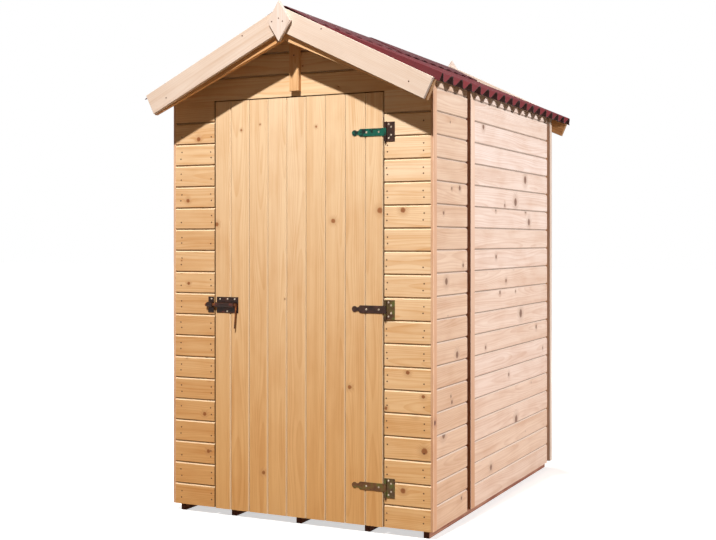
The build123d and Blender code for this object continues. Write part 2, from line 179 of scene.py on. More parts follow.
class Material:
    """A material under construction, with short calls for the nodes used here."""

    def __init__(self, name):
        self.material = bpy.data.materials.new(name)
        self.material.use_nodes = True
        self.tree = self.material.node_tree
        self.shader = self.tree.nodes["Principled BSDF"]

    def node(self, kind, inputs=None, **settings):
        made = self.tree.nodes.new(kind)
        for name, value in settings.items():
            setattr(made, name, value)
        for name, value in (inputs or {}).items():
            self.put(made.inputs[name], value)
        return made

    def put(self, socket, value):
        if isinstance(value, bpy.types.NodeSocket):
            self.tree.links.new(value, socket)
        else:
            socket.default_value = value

    def math(self, operation, first, second=0.0, clamp=False):
        made = self.node("ShaderNodeMath", {0: first, 1: second}, operation=operation)
        made.use_clamp = clamp
        return made.outputs[0]

    def times(self, first, second, clamp=False):
        return self.math("MULTIPLY", first, second, clamp)

    def plus(self, first, second, clamp=False):
        return self.math("ADD", first, second, clamp)

    def swing(self, value, reach):
        """Turns a value from 0 to 1 into one from -reach / 2 to reach / 2."""
        return self.times(self.math("SUBTRACT", value, 0.5), reach)

    def vector(self, operation, first, second=(0, 0, 0)):
        made = self.node("ShaderNodeVectorMath", {0: first, 1: second}, operation=operation)
        return made.outputs["Value" if operation == "LENGTH" else "Vector"]

    def attribute(self, name):
        return self.node("ShaderNodeAttribute", attribute_name=name)

    def parts(self, vector):
        return self.node("ShaderNodeSeparateXYZ", {0: vector}).outputs

    def joined(self, x, y, z):
        return self.node("ShaderNodeCombineXYZ", {0: x, 1: y, 2: z}).outputs[0]

    def noise(self, vector, scale, detail=2.0, roughness=0.5):
        inputs = {"Vector": vector, "Scale": scale, "Detail": detail, "Roughness": roughness}
        return self.node("ShaderNodeTexNoise", inputs).outputs

    def streaks(self, vector, scales, detail=3.0, roughness=0.5):
        """Noise with a scale of its own along each axis."""
        stretched = self.vector("MULTIPLY", vector, scales)
        return self.noise(stretched, 1.0, detail, roughness)["Fac"]

    def smooth(self, value, start, end, low=0.0, high=1.0):
        """Smooth step from low to high while the value goes from start to end."""
        inputs = {"Value": value, "From Min": start, "From Max": end, "To Min": low, "To Max": high}
        made = self.node("ShaderNodeMapRange", inputs, interpolation_type="SMOOTHSTEP")
        return made.outputs["Result"]

    def mix(self, factor, first, second, blend="MIX"):
        made = self.node("ShaderNodeMix", data_type="RGBA", blend_type=blend)
        for number, value in ((0, factor), (6, first), (7, second)):
            self.put(made.inputs[number], value)
        return made.outputs[2]

    def ramp(self, value, *stops):
        made = self.node("ShaderNodeValToRGB", {0: value})
        elements = made.color_ramp.elements
        while len(elements) < len(stops):
            elements.new(0.5)
        for element, (place, colour) in zip(elements, stops):
            element.position = place
            element.color = colour
        return made.outputs[0]

    def bump(self, height, distance, strength):
        inputs = {"Height": height, "Distance": distance, "Strength": strength}
        made = self.node("ShaderNodeBump", inputs)
        self.put(self.shader.inputs["Normal"], made.outputs[0])

    def set(self, **inputs):
        for name, value in inputs.items():
            self.put(self.shader.inputs[name.replace("_", " ")], value)
        return self.material


def colour(red, green, blue):
    """A colour written in the screen's 0 to 255, as the linear colour that shaders take."""
    def linear(value):
        value /= 255
        return value / 12.92 if value <= 0.04045 else ((value + 0.055) / 1.055) ** 2.4

    return (linear(red), linear(green), linear(blue), 1.0)


def scaled(shade, factor):
    """A colour made darker, or paler where the factor is above 1."""
    return [channel * factor for channel in shade[:3]] + [1]


def knot_marks(made, offset, radius, present, wobble):
    """Core, dark rim and halo of a knot, and the distance to its middle in knot radii."""
    distance = made.vector("LENGTH", made.vector("MULTIPLY", offset, (1, 1, 0)))
    share = made.math("DIVIDE", made.plus(distance, wobble), radius)
    core = made.times(made.smooth(share, 1.0, 0.75), present)
    rim = made.times(made.smooth(share, 1.4, 0.95), present)
    halo = made.times(made.smooth(share, 4.0, 0.8), present)
    return core, rim, halo, share


def knots_in(made, grain, share_with_knots):
    """Knots that the boards' lists place, and chance ones, at most one in each cell of a grid."""
    wobble = made.swing(made.noise(grain, 160.0)["Fac"], knot_wobble)
    placed_knot = made.attribute("knot").outputs["Vector"]
    placed_radius = made.parts(placed_knot)[2]
    first = knot_marks(
        made,
        made.vector("SUBTRACT", grain, placed_knot),
        made.math("MAXIMUM", placed_radius, 0.001),
        made.math("GREATER_THAN", placed_radius, 0.0),
        wobble,
    )
    on_grid = made.vector("MULTIPLY", grain, knot_cells)
    inputs = {"Vector": on_grid, "Scale": 1.0, "Randomness": 1.0}
    voronoi = made.node("ShaderNodeTexVoronoi", inputs).outputs
    offset = made.vector("SUBTRACT", on_grid, voronoi["Position"])
    chance = made.node("ShaderNodeSeparateColor", {0: voronoi["Color"]}).outputs
    chance_radius = made.smooth(chance[0], 0.0, 1.0, *chance_knot)
    second = knot_marks(
        made,
        made.vector("MULTIPLY", offset, (1 / knot_cells[0], 1 / knot_cells[1], 0.0)),
        chance_radius,
        made.math("LESS_THAN", chance[1], share_with_knots),
        wobble,
    )
    core, rim, halo = [made.math("MAXIMUM", a, b) for a, b in zip(first[:3], second[:3])]
    share = made.math("MINIMUM", first[3], second[3])
    radius = made.math("MAXIMUM", placed_radius, chance_radius)
    return core, rim, halo, share, radius


def growth_rings(made, grain, push):
    """Late wood of the growth rings round a heart that wanders along the board."""
    slow = made.noise(made.vector("MULTIPLY", grain, (0.9, 2.0, 2.0)), 1.0)
    drift = made.parts(slow["Color"])
    across, through = made.parts(grain)[1:]
    across = made.plus(across, made.swing(drift[0], heart_drift[0]))
    across = made.plus(across, push)
    through = made.plus(through, made.swing(drift[1], heart_drift[1]))
    radius = made.vector("LENGTH", made.joined(0.0, across, through))
    ring = made.math("FRACT", made.math("DIVIDE", radius, ring_pitch))
    return made.times(made.smooth(ring, 0.35, 0.92), made.smooth(ring, 1.0, 0.93))


def wood(
    name, pale, deep, knot, knot_share=0.5, contrast=1.0, low_shade_and_tint=(1, 1, 1, 1), end_grain_and_painted_shade=0.75,
):
    """Planed softwood: growth rings, fibres, knots with the grain flowing round them, end grain.

    It reads these attributes of the boards: grain (along, across and through each board, in
    metres), knot (a knot's place along and across, and its radius), tone (from board to board) and
    end_grain_and_painted_light (1 on end grain and, as painted shade, on slots and chamfers that
    face down; -1, as a painted highlight, on other chamfers). Near the ground the wood turns darker
    and more orange: partly painted shade, partly the wood's own colour.
    """
    made = Material(name)
    grain = made.attribute("grain").outputs["Vector"]
    tone = made.attribute("tone").outputs["Fac"]
    end_grain_and_painted_light = made.attribute("end_grain_and_painted_light").outputs["Fac"]
    core, rim, halo, share, radius = knots_in(made, grain, knot_share)
    late = growth_rings(made, grain, made.times(halo, made.times(radius, knot_push)))

    # Fibres, broad stripes and patches
    fibres = made.streaks(grain, (7.0, 330.0, 330.0))
    stripes = made.streaks(grain, (1.3, 42.0, 42.0), roughness=0.6)
    patches = made.streaks(grain, (5.0, 11.0, 11.0))
    amount = made.times(late, 0.34 * contrast)
    amount = made.plus(amount, made.smooth(fibres, 0.3, 0.8, 0.0, 0.22 * contrast))
    amount = made.plus(amount, made.smooth(stripes, 0.35, 0.75, 0.0, 0.42 * contrast))
    amount = made.plus(amount, made.smooth(patches, 0.4, 0.75, 0.0, 0.3 * contrast), clamp=True)
    shade = made.mix(amount, pale, deep)
    tint = made.ramp(
        tone,
        (0.0, (0.90, 0.83, 0.74, 1)),
        (0.35, (0.97, 0.94, 0.89, 1)),
        (0.7, (1.0, 1.0, 1.0, 1)),
        (1.0, (1.05, 1.11, 1.22, 1)),
    )
    shade = made.mix(1.0, shade, tint, "MULTIPLY")
    # Darker and more orange towards the ground: partly painted shade, partly the wood's own colour
    height = made.parts(made.node("ShaderNodeTexCoord").outputs["Object"])[2]
    near_ground = made.mix(1.0, shade, low_shade_and_tint, "MULTIPLY")
    shade = made.mix(made.smooth(height, low_shade_and_tint_top, low_shade_and_tint_foot), shade, near_ground)

    # Knots, then end grain, painted shade and painted highlights
    amber = [(a + b) / 2 for a, b in zip(deep, knot)]
    knot_rings = made.math("FRACT", made.times(share, 3.2))
    heartwood = made.times(core, made.smooth(knot_rings, 0.2, 0.8, 0.2, 0.7))
    shade = made.mix(made.times(halo, 0.42), shade, amber)
    shade = made.mix(made.times(rim, 0.75), shade, knot)
    shade = made.mix(heartwood, shade, scaled(knot, 0.62))
    shade = made.mix(made.times(end_grain_and_painted_light, end_grain_and_painted_shade, clamp=True), shade, scaled(deep, 0.3))
    shade = made.mix(made.times(end_grain_and_painted_light, -0.8, clamp=True), shade, scaled(pale, 1.02))

    relief = made.plus(made.times(late, 0.6), made.times(fibres, 0.7))
    relief = made.plus(relief, made.times(core, 0.8))
    made.bump(relief, distance=0.0003, strength=0.55)
    rough = made.smooth(late, 0.0, 1.0, 0.62, 0.52)
    return made.set(Base_Color=shade, Roughness=rough, Specular_IOR_Level=0.28)


def stained_wood(name, pale, deep):
    """Timber dipped brown against rot: streaky stain with dry, worn patches."""
    made = Material(name)
    grain = made.attribute("grain").outputs["Vector"]
    end_grain_and_painted_light = made.attribute("end_grain_and_painted_light").outputs["Fac"]
    streaks = made.streaks(grain, (4.0, 120.0, 120.0), detail=4.0, roughness=0.6)
    worn = made.streaks(grain, (6.0, 30.0, 30.0))
    amount = made.smooth(streaks, 0.3, 0.7, 0.0, 0.6)
    amount = made.plus(amount, made.smooth(worn, 0.45, 0.75, 0.0, 0.4))
    shade = made.mix(amount, deep, pale)
    # Darker end grain, and painted shade on slots and on eased edges that face down
    shade = made.mix(made.times(end_grain_and_painted_light, 0.85, clamp=True), shade, scaled(deep, 0.3))
    made.bump(streaks, distance=0.0005, strength=0.7)
    rough = made.smooth(worn, 0.3, 0.7, 0.55, 0.8)
    return made.set(Base_Color=shade, Roughness=rough, Specular_IOR_Level=0.1)


def bitumen(name, face, flecks):
    """Coloured bitumen fibre sheet: matt, with fine fibres, paler clouds and pores."""
    made = Material(name)
    place = made.node("ShaderNodeTexCoord").outputs["Object"]
    fine = made.noise(place, 900.0, 3.0, 0.6)["Fac"]
    fibres = made.streaks(place, (90.0, 420.0, 90.0), detail=2.0)
    clouds = made.noise(place, 9.0, 4.0, 0.6)["Fac"]
    amount = made.smooth(fine, 0.4, 0.75, 0.0, 0.4)
    amount = made.plus(amount, made.smooth(clouds, 0.35, 0.7, 0.0, 0.5))
    shade = made.mix(amount, face, flecks)
    shade = made.mix(made.smooth(fibres, 0.5, 0.8, 0.0, 0.35), shade, scaled(face, 0.6))
    made.bump(made.plus(fine, made.times(fibres, 0.7)), distance=0.0005, strength=0.6)
    rough = made.smooth(clouds, 0.3, 0.7, 0.62, 0.82)
    return made.set(Base_Color=shade, Roughness=rough, Specular_IOR_Level=0.3)


def enamel(name, dark, warm, iridescence_and_painted_sheen, iridescence_and_sheen_share):
    """Dark enamel over steel, with patches of painted highlights and reflections, partly iridescent
    colour.
    """
    made = Material(name)
    place = made.node("ShaderNodeTexCoord").outputs["Object"]
    patches = made.noise(place, 38.0, 3.0, 0.6)["Fac"]
    grit = made.noise(place, 700.0)["Fac"]
    # Patches of painted highlights and reflections, partly the coating's own iridescent colour
    iridescence_and_sheen_patches = made.smooth(patches, 0.62 - iridescence_and_sheen_share, 0.72 - iridescence_and_sheen_share, 0.0, 0.85)
    shade = made.mix(made.smooth(patches, 0.35, 0.65), dark, warm)
    shade = made.mix(iridescence_and_sheen_patches, shade, iridescence_and_painted_sheen)
    made.bump(made.plus(grit, made.times(patches, 0.8)), distance=0.0002, strength=0.5)
    rough = made.smooth(grit, 0.3, 0.7, 0.34, 0.5)
    return made.set(Base_Color=shade, Roughness=rough, Metallic=0.15, Specular_IOR_Level=0.3)


def steel(name, shine, dull):
    """Zinc-plated or rusty fixings."""
    made = Material(name)
    place = made.node("ShaderNodeTexCoord").outputs["Object"]
    patches = made.noise(place, 420.0, 3.0, 0.6)["Fac"]
    shade = made.mix(made.smooth(patches, 0.35, 0.65), shine, dull)
    made.bump(patches, distance=0.0001, strength=0.5)
    rough = made.smooth(patches, 0.3, 0.7, 0.3, 0.5)
    return made.set(Base_Color=shade, Roughness=rough, Metallic=0.7)


# Front, door and side boards are one spruce. The front's and door's more golden colours and the
# side and rear walls' paler, pinker one are partly painted light, for the warmer light on the front
# and the paler light on the sides
front_wood = wood(
    "front_wood", colour(245, 219, 184), colour(219, 174, 124), colour(150, 84, 40),
    knot_share=0.12, low_shade_and_tint=(0.92, 0.74, 0.49, 1),
)
door_wood = wood(
    "door_wood", colour(242, 217, 183), colour(217, 176, 130), colour(160, 95, 48),
    knot_share=0.06, contrast=0.9, low_shade_and_tint=(0.90, 0.69, 0.42, 1),
)
side_wood = wood(
    "side_wood", colour(246, 228, 214), colour(218, 185, 162), colour(118, 78, 56),
    knot_share=0.12, contrast=1.05, low_shade_and_tint=(0.87, 0.77, 0.68, 1), end_grain_and_painted_shade=0.6,
)
trim_wood = wood(
    "trim_wood", colour(224, 209, 198), colour(206, 182, 163), colour(150, 96, 60),
    knot_share=0.08, contrast=0.9,
)
corner_wood = wood(
    "corner_wood", colour(234, 200, 174), colour(204, 156, 126), colour(96, 46, 28),
    knot_share=0.1, low_shade_and_tint=(0.92, 0.82, 0.72, 1),
)
# Paler than the other trims, as painted light on the trims' edge that shows in the side gaps, and
# much darker and more orange near the ground, as painted shade
middle_wood_painted_light_and_shade = wood(
    "middle_wood_painted_light_and_shade", colour(250, 228, 212), colour(238, 206, 186), colour(120, 66, 36),
    knot_share=0.1, low_shade_and_tint=(0.62, 0.43, 0.29, 1),
)
frame_wood = wood(
    "frame_wood", colour(232, 190, 140), colour(200, 142, 88), colour(136, 78, 40),
    knot_share=0.3, contrast=1.1,
)
runner_wood = stained_wood("runner_wood", colour(206, 160, 134), colour(128, 72, 56))
# The middle posts: their brown stain, darkened far below the rear posts' and the runners' as
# painted shade of the narrow middle gaps
post_wood_painted_shade = stained_wood("post_wood_painted_shade", colour(112, 34, 22), colour(56, 12, 7))
rear_post_wood = stained_wood("rear_post_wood", colour(196, 138, 78), colour(150, 92, 44))
sheet_face = bitumen("sheet_face", colour(88, 26, 33), colour(114, 40, 46))
cap_face = bitumen("cap_face", colour(72, 20, 27), colour(98, 34, 40))
sheet_back = bitumen("sheet_back", colour(38, 12, 14), colour(54, 20, 20))
# Enamels of the bolt, its rod and the hinges: the third colour of each stands for painted
# highlights and reflections, partly the coating's own iridescent colour
black_enamel = enamel(
    "black_enamel", colour(30, 13, 8), colour(50, 25, 15), colour(92, 42, 34), iridescence_and_sheen_share=0.04,
)
dark_enamel = enamel(
    "dark_enamel", colour(38, 20, 12), colour(60, 36, 26), colour(70, 44, 44), iridescence_and_sheen_share=0.04,
)
teal_enamel = enamel(
    "teal_enamel", colour(10, 30, 26), colour(12, 62, 50), colour(8, 92, 74), iridescence_and_sheen_share=0.2,
)
olive_enamel = enamel(
    "olive_enamel", colour(74, 48, 30), colour(96, 84, 44), colour(84, 92, 40), iridescence_and_sheen_share=0.1,
)
rusty_enamel = enamel(
    "rusty_enamel", colour(88, 56, 30), colour(112, 76, 40), colour(92, 86, 34), iridescence_and_sheen_share=0.1,
)
rod_bronze = enamel(
    "rod_bronze", colour(70, 36, 12), colour(128, 70, 28), colour(190, 104, 44), iridescence_and_sheen_share=0.05,
)
nail_steel = steel("nail_steel", colour(96, 62, 40), colour(64, 38, 24))
screw_steel = steel("screw_steel", colour(206, 192, 174), colour(150, 132, 112))


# ---- Boards and planks --------------------------------------------------------------------------

def end_grain_and_painted_light_of(face, along, through):
    """1 on end grain, painted shade on slots and down-facing chamfers; -1 painted highlight on
    other chamfers; else 0.
    """
    slant = abs(face.normal @ through)
    end_grain = abs(face.normal @ along) > 0.8
    slot_wall = 0.05 < slant < 0.3
    chamfer = 0.3 < slant < 0.95
    if end_grain or slot_wall:
        return 1.0
    if chamfer:
        return 1.0 if face.normal.z < -0.3 else -1.0
    return 0.0


class Joinery:
    """Boards that end up in one mesh, each with its own stretch of grain."""

    def __init__(self):
        self.points = []
        self.faces = []
        self.grain = []
        self.knot = []
        self.tone = []
        self.end_grain_and_painted_light = []

    def add(self, shape, along, across, tone=None, knots=()):
        """Takes the solids of a shape. Along and across are directions of its boards.

        Knots have a point and a radius. Each board takes the first one that lies across it.
        """
        through = along.cross(across)
        for solid in solids_of(shape):
            middle = sum((v.co for v in solid), Vector()) / len(solid)
            shift = Vector((
                random.uniform(0, grain_length),
                random.uniform(-heart_aside, heart_aside),
                random.uniform(*heart_depth),
            ))
            levels = [v.co @ across for v in solid]
            on_board = [k for k in knots if min(levels) < k[0] @ across < max(levels)]
            knot = Vector((0, 0, 0))
            if on_board:
                off = on_board[0][0] - middle
                knot = Vector((off @ along + shift.x, off @ across + shift.y, on_board[0][1]))
            if tone is None:
                board_tone = random.random()
            else:
                board_tone = tone + random.uniform(-tone_scatter, tone_scatter)
            first = len(self.points)
            places = {}
            for number, vertex in enumerate(solid):
                places[vertex] = first + number
                self.points.append(vertex.co[:])
                off = vertex.co - middle
                self.grain.append(Vector((off @ along, off @ across, off @ through)) + shift)
                self.knot.append(knot)
                self.tone.append(board_tone)
            seen = set()
            for vertex in solid:
                for face in vertex.link_faces:
                    if face.index not in seen:
                        seen.add(face.index)
                        self.faces.append([places[v] for v in face.verts])
                        self.end_grain_and_painted_light.append(end_grain_and_painted_light_of(face, along, through))

    def piece(self, name, material, *nodes, slot="spruce"):
        """Makes the mesh, which stands for the CAD nodes and rides on their body."""
        mesh = bpy.data.meshes.new(name)
        mesh.from_pydata(self.points, [], self.faces)
        for attribute, values in (("grain", self.grain), ("knot", self.knot)):
            flat = [value for place in values for value in place]
            mesh.attributes.new(attribute, "FLOAT_VECTOR", "POINT").data.foreach_set("vector", flat)
        mesh.attributes.new("tone", "FLOAT", "POINT").data.foreach_set("value", self.tone)
        mesh.attributes.new("end_grain_and_painted_light", "FLOAT", "FACE").data.foreach_set("value", self.end_grain_and_painted_light)
        mesh.materials.append(material)
        placed(name, mesh, frame["nodes"][nodes[0]]["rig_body"], slot, *nodes)


def placed(name, mesh, body, slot, *nodes):
    """An object for the mesh, riding on a CAD body in place of CAD nodes."""
    made = bpy.data.objects.new(name, mesh)
    bpy.context.scene.collection.objects.link(made)
    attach(made, body)
    if nodes:
        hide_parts(*nodes)


def solids_of(shape):
    """The vertices of each separate solid, always in the same order."""
    shape.verts.index_update()
    shape.faces.index_update()
    shape.normal_update()
    seen = set()
    for start in shape.verts:
        if start.index in seen:
            continue
        seen.add(start.index)
        found = [start]
        for vertex in found:
            for edge in vertex.link_edges:
                other = edge.other_vert(vertex)
                if other.index not in seen:
                    seen.add(other.index)
                    found.append(other)
        yield found


def node_shape(node):
    """A CAD node's shape with its corners joined and its flat faces undivided."""
    shape = bmesh.new()
    shape.from_mesh(frame["nodes"][node].data)
    bmesh.ops.remove_doubles(shape, verts=shape.verts, dist=weld)
    bmesh.ops.dissolve_limit(shape, angle_limit=one_face, verts=shape.verts, edges=shape.edges)
    return shape


def on_axes(*values):
    """A vector from pairs of an axis and a value."""
    made = Vector((0, 0, 0))
    for axis, value in values:
        made[axis] = value
    return made


def cut_off(shape, point, normal):
    """Cuts off everything on the normal's side of a plane, and closes the opening."""
    done = bmesh.ops.bisect_plane(
        shape,
        geom=shape.verts[:] + shape.edges[:] + shape.faces[:],
        plane_co=point,
        plane_no=normal,
        clear_outer=True,
    )
    rim = [item for item in done["geom_cut"] if isinstance(item, bmesh.types.BMEdge)]
    bmesh.ops.holes_fill(shape, edges=rim)


def ease(shape):
    """Rounds the sharp edges."""
    bmesh.ops.bevel(
        shape,
        geom=[e for e in shape.edges if len(e.link_faces) == 2 and e.calc_face_angle() > sharp],
        offset=plank_ease,
        offset_type="OFFSET",
        segments=2,
        profile=0.5,
        affect="EDGES",
        clamp_overlap=True,
    )


def joints(low, high, first, pitch):
    """Places of the joints between boards."""
    count = math.ceil((high - first) / pitch)
    places = [first + number * pitch for number in range(count)]
    return [place for place in places if low + narrowest_board < place < high - narrowest_board]


def open_grooves(shape, along_axis, end, axis, places, outer_axis, outer, inwards):
    """Widens and deepens the grooves towards a board end that stands free."""
    near = 2 * side_groove
    bmesh.ops.bisect_plane(
        shape,
        geom=shape.verts[:] + shape.edges[:] + shape.faces[:],
        plane_co=on_axes((along_axis, end - open_end)),
        plane_no=on_axes((along_axis, 1.0)),
    )
    for vertex in shape.verts:
        if abs(vertex.co[along_axis] - end) > weld or abs(vertex.co[outer_axis] - outer) > near:
            continue
        for place in places:
            off = vertex.co[axis] - place
            if abs(off) < weld:
                vertex.co[outer_axis] += inwards * open_end_depth
            elif abs(off) < near:
                vertex.co[axis] += math.copysign(open_end_width, off)


def boarded(
    name, node, material, axis, first, pitch, outer_axis, outer_side, groove,
    tone=None, knots=(), free_end=False, chamfered_edge=0.0,
):
    """A CAD wall as separate boards, with a groove at each joint of the outer face.

    Boards are stacked along one axis and the wall faces along the outer one. A free end opens the
    grooves at the back end of the boards. A chamfered edge is on the last board's far edge.
    """
    low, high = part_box(node)
    outer = (low, high)[outer_side][outer_axis]
    inner = (high, low)[outer_side][outer_axis]
    inwards = -1 if outer_side == HIGH else 1
    places = [None] + joints(low[axis], high[axis], first, pitch) + [None]

    def slant(board, place, side, level, slope):
        """Cuts a slanting face that starts in the joint at a level of the outer axis."""
        corner = on_axes((axis, place), (outer_axis, level))
        cut_off(board, corner, on_axes((axis, side), (outer_axis, slope)))

    def cut_joint(board, place, side):
        """Cuts the board off at the joint above it (side 1) or below it (side -1)."""
        cut_off(board, on_axes((axis, place)), on_axes((axis, side)))
        slant(board, place, side, outer + inwards * groove, -inwards)
        slant(board, place, side, outer + inwards * (groove + slot_depth), -inwards * slot_slope)
        slant(board, place, side, inner - inwards * back_groove, inwards)

    across = (RIGHT, BACK, UP)[axis]
    along_axis = X + Y + Z - axis - outer_axis
    along = (RIGHT, BACK, UP)[along_axis]
    work = Joinery()
    for below, above in zip(places, places[1:]):
        board = node_shape(node)
        edges = [place for place in (below, above) if place is not None]
        if below is not None:
            cut_joint(board, below, -1)
        if above is not None:
            cut_joint(board, above, 1)
        elif chamfered_edge:
            slant(board, high[axis], 1, outer + inwards * chamfered_edge, -inwards)
        if free_end:
            end = high[along_axis]
            open_grooves(board, along_axis, end, axis, edges, outer_axis, outer, inwards)
        work.add(board, along, across, tone, knots)
        board.free()
    work.piece(name, material, node)


def planks(name, material, node, along, across, slot="spruce", tone=None, knots=()):
    """A CAD node's planks, with their edges rounded."""
    work = Joinery()
    shape = node_shape(node)
    ease(shape)
    work.add(shape, along, across, tone, knots)
    shape.free()
    work.piece(name, material, node, slot=slot)


first_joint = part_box("left_front_strip")[0].z + bottom_board


def on_front(*knots):
    """Knots at places on the front, as x, z and radius."""
    return [(Vector((x, 0, z)), radius) for x, z, radius in knots]


def on_side(*knots):
    """Knots at places on the sides, as y, z and radius."""
    return [(Vector((0, y, z)), radius) for y, z, radius in knots]


def walls():
    front_knots = {
        "left": on_front((-0.47, 1.58, 0.008), (-0.52, 0.97, 0.006), (-0.44, 0.42, 0.007)),
        "right": on_front(
            (0.47, 1.27, 0.009), (0.49, 0.64, 0.007), (0.56, 0.34, 0.011), (0.47, 0.18, 0.009),
            (0.555, 0.55, 0.006),
        ),
    }
    short_knots = on_side(
        (-0.70, 1.26, 0.006), (-0.61, 1.36, 0.005), (-0.67, 0.99, 0.012), (-0.48, 1.05, 0.007),
        (-0.55, 0.69, 0.012), (-0.62, 0.53, 0.005), (-0.70, 0.39, 0.014), (-0.50, 0.10, 0.006),
    )
    long_knots = on_side(
        (-0.23, 1.64, 0.010), (0.37, 1.44, 0.016), (0.22, 1.33, 0.016), (0.43, 1.24, 0.014),
        (-0.06, 1.08, 0.008), (0.08, 0.97, 0.008), (0.30, 0.81, 0.017), (-0.20, 0.69, 0.007),
        (0.12, 0.54, 0.007), (0.23, 0.32, 0.017), (-0.13, 0.16, 0.011),
    )
    # The left front strip is toned darker and the right one paler: partly painted light, which
    # falls off towards the left, partly the wood's own tone
    for side, strip_tone_and_painted_light, outer_side in (("left", 0.1, LOW), ("right", 0.95, HIGH)):
        boarded(
            f"{side}_front_boards", f"{side}_front_strip", front_wood,
            axis=Z, first=first_joint, pitch=board_pitch,
            outer_axis=Y, outer_side=LOW, groove=front_groove,
            tone=strip_tone_and_painted_light, knots=front_knots[side],
        )
        # The short side panels are toned darker and the long ones paler: painted light, which grows
        # towards the back
        for part, tone, knots in (("short", 0.15, short_knots), ("long", 0.85, long_knots)):
            boarded(
                f"{side}_{part}_boards", f"{side}_side_{part}_panel", side_wood,
                axis=Z, first=first_joint + side_joint_lift, pitch=board_pitch,
                outer_axis=X, outer_side=outer_side, groove=side_groove,
                tone=tone, knots=knots, free_end=True,
            )
    boarded(
        "gable_boards", "front_gable", front_wood,
        axis=Z, first=first_joint, pitch=board_pitch,
        outer_axis=Y, outer_side=LOW, groove=front_groove, tone=0.6,
    )
    boarded(
        "rear_boards", "rear_wall", side_wood,
        axis=Z, first=first_joint, pitch=board_pitch,
        outer_axis=Y, outer_side=HIGH, groove=side_groove,
    )


def door():
    knots = on_front(
        (-0.38, 1.22, 0.008), (-0.26, 1.61, 0.004), (-0.17, 1.63, 0.003), (0.09, 1.61, 0.004),
        (0.167, 1.23, 0.008), (0.24, 0.57, 0.007), (0.296, 1.15, 0.009), (0.372, 1.27, 0.010),
    )
    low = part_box("door_boards")[0]
    boarded(
        "door_leaf", "door_boards", door_wood,
        axis=X, first=low.x + door_first_board, pitch=door_board_pitch,
        outer_axis=Y, outer_side=LOW, groove=door_groove,
        tone=0.65, knots=knots, chamfered_edge=door_edge,
    )
    planks("door_ledge_planks", frame_wood, "door_ledges", RIGHT, UP)


def shed_floor():
    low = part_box("floor_boards")[0]
    boarded(
        "floor_planks", "floor_boards", frame_wood,
        axis=Y, first=low.y + floor_board_pitch, pitch=floor_board_pitch,
        outer_axis=Z, outer_side=HIGH, groove=floor_groove,
    )
    planks("runner_planks", runner_wood, "floor_runners", BACK, UP, slot="brown_spruce")


def uprights():
    trim_knots = on_side((-0.80, 0.45, 0.008))
    for name, material, tone, knots in (
        ("front_corner_trims", corner_wood, 0.4, trim_knots),
        ("middle_trims", middle_wood_painted_light_and_shade, 0.6, ()),
        ("rear_corner_trims", trim_wood, 0.6, ()),
    ):
        planks(f"{name}_planed", material, name, UP, BACK, tone=tone, knots=knots)
    planks("gable_post_planed", frame_wood, "gable_post", UP, RIGHT, tone=0.8)
    for name in ("door_posts", "front_corner_posts"):
        planks(f"{name}_planed", frame_wood, name, UP, RIGHT)
    for name, material in (("middle_posts", post_wood_painted_shade), ("rear_corner_posts", rear_post_wood)):
        planks(f"{name}_planed", material, name, UP, BACK, slot="brown_spruce")


def roof_timbers():
    planks("head_rail_planed", frame_wood, "door_head_rail", RIGHT, UP)
    for name in ("eaves_purlins", "middle_purlins", "ridge_beam"):
        planks(f"{name}_planed", frame_wood, name, BACK, UP)
    for gable in ("front", "rear"):
        planks(f"{gable}_finial_planed", trim_wood, f"{gable}_finial", UP, RIGHT, tone=0.9)
        for side, slope, barge_slope in (
            ("left", left_slope, left_barge_slope),
            ("right", right_slope, right_barge_slope),
        ):
            node = f"{side}_{gable}_rafter"
            planks(f"{node}_planed", frame_wood, node, slope, BACK.cross(slope))
            node = f"{side}_{gable}_barge_board"
            across = BACK.cross(barge_slope)
            planks(f"{node}_planed", trim_wood, node, barge_slope, across, tone=0.75)


walls()
door()
shed_floor()
uprights()
roof_timbers()


# ---- Roof ---------------------------------------------------------------------------------------

def sheet_skin(side):
    """The corrugated sheet with a coloured face and front edge, and a dark back."""
    node = f"{side}_roof_sheet"
    mesh = frame["nodes"][node].data.copy()
    mesh.materials.clear()
    mesh.materials.append(sheet_face)
    mesh.materials.append(sheet_back)
    for polygon in mesh.polygons:
        faces_up = polygon.normal.z > 0.2
        front_edge = polygon.normal.y < -0.9
        polygon.material_index = 0 if faces_up or front_edge else 1
    placed(f"{side}_sheet", mesh, "shed", "red_sheet", node)


def sagging_cap():
    """The ridge cap, with edges that sink and rise a little at the pitch of the sheets' waves."""
    low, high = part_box("ridge_cap")
    shape = node_shape("ridge_cap")
    step = wave_pitch / cap_steps
    for number in range(1, math.ceil((high.y - low.y) / step)):
        bmesh.ops.bisect_plane(
            shape,
            geom=shape.verts[:] + shape.edges[:] + shape.faces[:],
            plane_co=(0, low.y + number * step, 0),
            plane_no=BACK,
        )
    for vertex in shape.verts:
        start = wave_start["right" if vertex.co.x > 0 else "left"]
        sink = 0.5 - 0.5 * math.cos(2 * math.pi * (vertex.co.y - start) / wave_pitch)
        vertex.co.z -= cap_sag * sink * (vertex.co.x / high.x) ** 2
    for face in shape.faces:
        face.smooth = True
    for edge in shape.edges:
        edge.smooth = edge.calc_face_angle(0.0) < sharp
    mesh = bpy.data.meshes.new("cap")
    shape.to_mesh(mesh)
    shape.free()
    mesh.materials.append(cap_face)
    placed("cap", mesh, "shed", "red_sheet", "ridge_cap")


for side in ("left", "right"):
    sheet_skin(side)
sagging_cap()


def give(material, *nodes):
    """Puts a material on CAD nodes that show as they are."""
    for node in nodes:
        made = frame["nodes"][node]
        if not made.material_slots:
            made.data.materials.append(material)
        for material_slot in made.material_slots:
            material_slot.material = material


